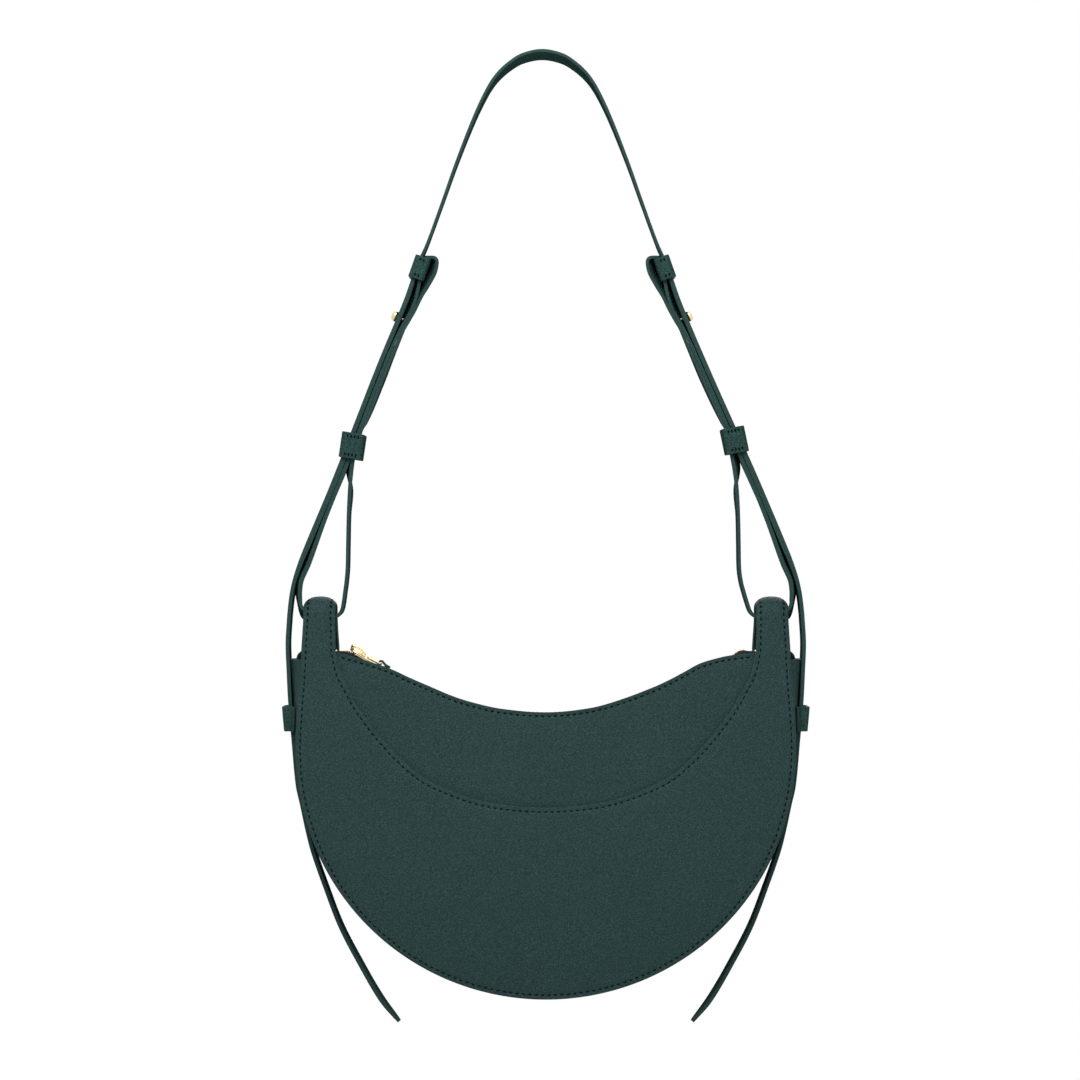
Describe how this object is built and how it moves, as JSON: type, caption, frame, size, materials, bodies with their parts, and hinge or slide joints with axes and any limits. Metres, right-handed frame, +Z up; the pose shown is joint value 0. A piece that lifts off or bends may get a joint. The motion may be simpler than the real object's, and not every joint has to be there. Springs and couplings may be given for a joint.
{
  "type": "half-moon shoulder bag",
  "caption": "Half-moon leather shoulder bag with a curved top zip, looped handle straps held by keepers and gilt buttons, and loose pointed strap tails at its sides",
  "frame": {"origin": "underside of the shoulder strap at its highest point, where the bag hangs", "axes": "+Z up, -Y towards the viewer of the picture, which is the bag's front, +X to the picture's right"},
  "size_m": [0.3086, 0.063, 0.5683],
  "materials": {
    "green_leather": "fine grained dark green leather, satin",
    "strap_leather": "the same leather on both sides, with painted edges",
    "inner_leather": "smooth dark green leather",
    "lining_cloth": "woven cotton lining",
    "stiffener_board": "bonded leather board, raw",
    "zip_tape": "twill tape",
    "gilt_metal": "polished pale gilt"
  },
  "bodies": {
    "strap": {"shoulder_strap": "strap_leather", "loop_strap_left": "strap_leather", "loop_strap_right": "strap_leather", "upper_keeper_left": "strap_leather", "upper_keeper_right": "strap_leather", "stud_left": "gilt_metal", "stud_right": "gilt_metal", "stud_screw_left": "gilt_metal", "stud_screw_right": "gilt_metal"},
    "keeper_left": {"lower_keeper_left": "strap_leather"},
    "keeper_right": {"lower_keeper_right": "strap_leather"},
    "bag": {"front_panel": "green_leather", "front_yoke": "green_leather", "back_panel": "green_leather", "back_yoke": "green_leather", "gusset": "green_leather", "front_board": "stiffener_board", "back_board": "stiffener_board", "lining_front": "lining_cloth", "lining_back": "lining_cloth", "lining_gusset": "lining_cloth", "inner_pocket": "lining_cloth", "zip_tape_front": "zip_tape", "zip_tape_back": "zip_tape", "zip_teeth_front": "gilt_metal", "zip_teeth_back": "gilt_metal", "zip_stop_left": "gilt_metal", "zip_stop_right": "gilt_metal", "zip_end_left": "inner_leather", "zip_end_right": "inner_leather", "side_loop_left": "strap_leather", "side_loop_right": "strap_leather", "strap_tail_left": "strap_leather", "strap_tail_right": "strap_leather"},
    "slider": {"zip_slider": "gilt_metal", "zip_slider_base": "gilt_metal"},
    "ring": {"pull_ring": "gilt_metal"},
    "tab": {"pull_tab": "inner_leather"}
  },
  "joints": [
    {"name": "bag_swing", "type": "hinge", "parent": "strap", "child": "bag", "pos_m": [0, 0, -0.3282], "axis": [1, 0, 0], "range_deg": [-45, 45]},
    {"name": "zip_travel", "type": "hinge", "parent": "bag", "child": "slider", "pos_m": [0, 0, -0.1851], "axis": [0, -1, 0], "range_deg": [0, 62]},
    {"name": "ring_lift", "type": "hinge", "parent": "slider", "child": "ring", "pos_m": [-0.10414, 0, -0.35216], "axis": [0, -1, 0], "range_deg": [0, 130]},
    {"name": "tab_fold", "type": "hinge", "parent": "ring", "child": "tab", "pos_m": [-0.09685, 0, -0.35612], "axis": [0, -1, 0], "range_deg": [0, 70]},
    {"name": "keeper_left_slide", "type": "slide", "parent": "strap", "child": "keeper_left", "axis": [0.3853, 0, 0.9228], "range_m": [0, 0.045]},
    {"name": "keeper_right_slide", "type": "slide", "parent": "strap", "child": "keeper_right", "axis": [-0.3853, 0, 0.9228], "range_m": [0, 0.045]}
  ]
}
